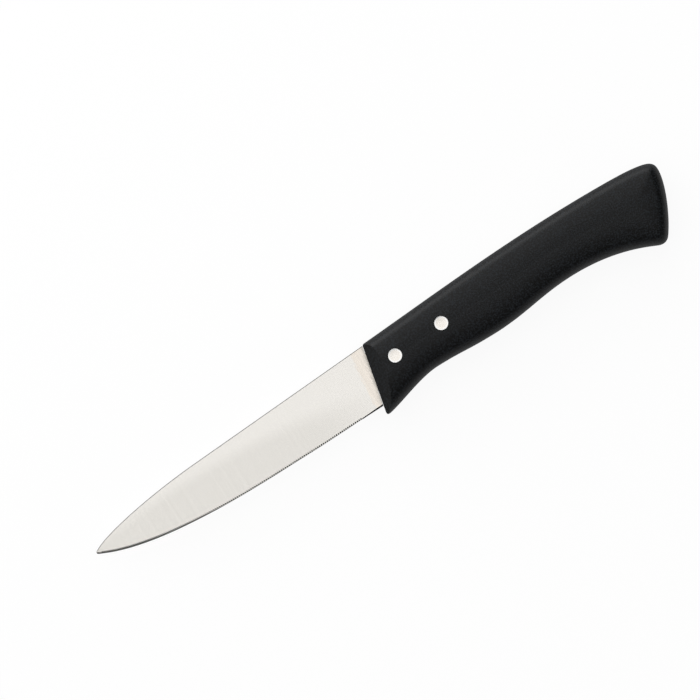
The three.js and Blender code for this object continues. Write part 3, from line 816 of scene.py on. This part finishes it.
def satin_ground_steel():
    """Martensitic stainless steel, belt-ground across the blade to a satin finish.

    The eye sees a pale, warm grey sheet with fine streaks from edge to spine. It is painted a little
    brighter towards spine and heel, as painted light, and darker over the lower part of the point's
    half, as painted shade. Beside the handle, where the belt turns off, it is left ivory, with grey
    streaks that grow greyer along the handle.
    """
    material, tree, surface, place = new_material("satin_ground_steel")
    streak_width, streak_length, streak_share, streak_depth = 0.9, 60, 2.2, 0.02
    streaks = noise(tree, place, streak_width, streak_length, 3)
    # Painted light and shade: the sheet is painted darker inside the oval and brighter outside it
    streak_and_shade_tone = maths(tree, "MULTIPLY_ADD", streaks, streak_share, painted_light_outside_oval(tree, place))
    streak_and_shade_tone = spread(tree, streak_and_shade_tone, streak_share / 2 - 1, streak_share / 2 + 2)
    sheet = blend(tree, streak_and_shade_tone, linear("#d5d2cc"), linear("#f5f2ed"))
    beside, ivory = heel_band(tree, place)
    shade(tree, surface, {
        "Base Color": blend(tree, beside, sheet, ivory),
        "Metallic": 1,
        "Roughness": spread(tree, streaks, 0, 1, 0.2, 0.3),
        "Normal": bump(tree, streaks, 0.1, streak_depth),
    })
    return material


def mottled_steel(name, spot, detail, dark, light, roughness):
    """A steel that varies between two tones in spots of so many millimetres."""
    material, tree, surface, place = new_material(name)
    colour = blend(tree, noise(tree, place, spot, spot, detail), linear(dark), linear(light))
    shade(tree, surface, {"Base Color": colour, "Metallic": 1, "Roughness": roughness})
    return material


def painted_dark_bevel_steel():
    """The blade's steel where the serrating wheel has cut it: rough, with no polish, and painted nearly
    black as painted shade for the dark that the downturned bevel and its notches mirror.
    """
    return mottled_steel("painted_dark_bevel_steel", 0.12, 2, "#1c1c1d", "#3d3b39", 0.4)


def tumbled_steel():
    """The blade's steel along the spine, blanked and then tumbled: dull grey, with no grinding lines."""
    return mottled_steel("tumbled_steel", 0.2, 2, "#6a6865", "#86837f", 0.45)


def polished_rivet_steel():
    """Stainless rivet stock, ground flush and polished with the handle: pale, with soft clouds."""
    return mottled_steel("polished_rivet_steel", 1.2, 1, "#f0eae2", "#f9f5ef", 0.25)


def painted_highlight_rivet_rim():
    """The same steel at the rim of a head, painted nearly white as a painted highlight where the rim
    would catch the light.
    """
    return mottled_steel("painted_highlight_rivet_rim", 1.2, 1, "#faf8f4", "#ffffff", 0.25)


def grained_acetal():
    """Black acetal, moulded in a spark-eroded cavity: a fine matte grain that breaks up the light."""
    material, tree, surface, place = new_material("grained_acetal")
    grain, grain_depth = 0.5, 0.12  # real grain is a tenth of this, too fine to show
    height = noise(tree, place, grain, grain, 2)
    speck = spread(tree, height, 0.46, 0.62)
    shade(tree, surface, {
        "Base Color": blend(tree, speck, linear("#000000"), linear("#14181c")),
        "Roughness": spread(tree, speck, 0, 1, 0.37, 0.45),
        "IOR": 1.48,
        "Specular IOR Level": 0.24,
        "Normal": bump(tree, height, 0.4, grain_depth),
    })
    return material


# Studio, in metres

FLOOR_SIDE = 8.0
FLOOR_GLOW = 0.92  # of white, to the camera and in reflections
LAMP_DISTANCE = 1.1
LAMP_LENGTH = 1.85
SKY_STRENGTH = 0.15


def make_floor():
    """A plain pale floor, white to the camera and in reflections, with the knife's own shadow."""
    material, tree, surface, _ = new_material("pale_floor")
    path = add(tree, "ShaderNodeLightPath", {}).outputs
    seen = maths(tree, "MAXIMUM", path["Is Camera Ray"], path["Is Glossy Ray"])
    seen = maths(tree, "MAXIMUM", seen, path["Is Transmission Ray"])
    strength = maths(tree, "MULTIPLY", seen, FLOOR_GLOW)
    glow = add(tree, "ShaderNodeEmission", {"Color": linear("#ffffff"), "Strength": strength}).outputs[0]
    colour = blend(tree, seen, linear("#f2f2f2"), linear("#4d4d4d"))
    matte = add(tree, "ShaderNodeBsdfDiffuse", {"Color": colour}).outputs[0]
    both = add(tree, "ShaderNodeAddShader", {0: glow, 1: matte}).outputs[0]
    tree.links.new(both, surface)
    half = FLOOR_SIDE / 2
    mesh = bpy.data.meshes.new("floor")
    corners = [(-half, -half, 0), (half, -half, 0), (half, half, 0), (-half, half, 0)]
    mesh.from_pydata(corners, [], [(0, 1, 2, 3)])
    mesh.materials.append(material)
    floor = bpy.data.objects.new("floor", mesh)
    bpy.context.scene.collection.objects.link(floor)
    return floor


def group(name, members):
    """A collection of objects, for lamps that are flagged off all others."""
    made = bpy.data.collections.new(name)
    for member in members:
        made.objects.link(member)
    return made


def softbox(name, centre, aim, width, height, radiance, lit=None):
    """A rectangular lamp: power is radiance times area times pi. A flag keeps it off all but `lit`."""
    lamp = bpy.data.lights.new(name, "AREA")
    lamp.shape = "RECTANGLE"
    lamp.size, lamp.size_y = width, height
    lamp.energy = radiance * width * height * math.pi
    made = bpy.data.objects.new(name, lamp)
    made.location = centre
    made.rotation_euler = (Vector(aim) - Vector(centre)).to_track_quat("-Z", "Y").to_euler()
    made.visible_camera = False
    if lit:
        made.light_linking.receiver_collection = lit
    bpy.context.scene.collection.objects.link(made)


def side_box(name, side, elevation, height, radiance, lit=None):
    """A long softbox beside the knife, on the spine's side (1) or the edge's (-1), aimed at it."""
    angle = math.radians(elevation)
    centre = (0, side * LAMP_DISTANCE * math.cos(angle), LAMP_DISTANCE * math.sin(angle))
    softbox(name, centre, (0, 0, 0), LAMP_LENGTH, height, radiance, lit)


def make_light(dull, steel):
    """A strip overhead for the flat steel, a box and a low strip on the spine's side, weak low fills
    on the edge's side and before the point, and a faint sky.

    The box and the low strip are flagged off the steel, which would mirror them as one white patch
    from the sides. It has a weaker box there instead.
    """
    softbox("overhead_strip", (0, -0.06, 1.15), (0, -0.06, 0), 1.8, 0.36, 1.04)
    side_box("spine_box", 1, 53.5, 0.957, 1.35, dull)
    side_box("spine_strip", 1, 18.5, 0.448, 3.6, dull)
    side_box("steel_box", 1, 40, 1.4, 0.5, steel)
    side_box("edge_fill", -1, 16, 0.47, 0.5)
    softbox("point_fill", (-1.0, 0, 0.45), (0, 0, 0), 0.9, 0.6, 0.8)
    world = bpy.data.worlds.new("sky")
    world.use_nodes = True
    tree = world.node_tree
    tree.nodes.clear()
    sky = add(tree, "ShaderNodeBackground", {"Color": linear("#ffffff"), "Strength": SKY_STRENGTH})
    add(tree, "ShaderNodeOutputWorld", {"Surface": sky.outputs[0]})
    bpy.context.scene.world = world


def make_camera():
    """Straight above the knife, at the distance where the lens shows the photograph's width."""
    data = bpy.data.cameras.new("camera")
    data.lens, data.sensor_width = LENS, SENSOR
    camera = bpy.data.objects.new("camera", data)
    centre = on_frame([*VIEW_CENTRE, 0])
    camera.location = Vector(centre) + Vector((0, 0, VIEW_WIDTH * MM * LENS / SENSOR))
    camera.rotation_euler = (0, 0, -math.radians(VIEW_TURN))
    bpy.context.scene.collection.objects.link(camera)
    bpy.context.scene.camera = camera


blade = make_blade(satin_ground_steel(), painted_dark_bevel_steel(), tumbled_steel())
handle = make_handle(grained_acetal())
rivets = make_rivets(polished_rivet_steel(), painted_highlight_rivet_rim())
floor = make_floor()
make_light(group("dull_surfaces", [handle, floor]), group("steel_pieces", [blade, *rivets]))
make_camera()
bpy.context.scene.view_settings.view_transform = "Standard"
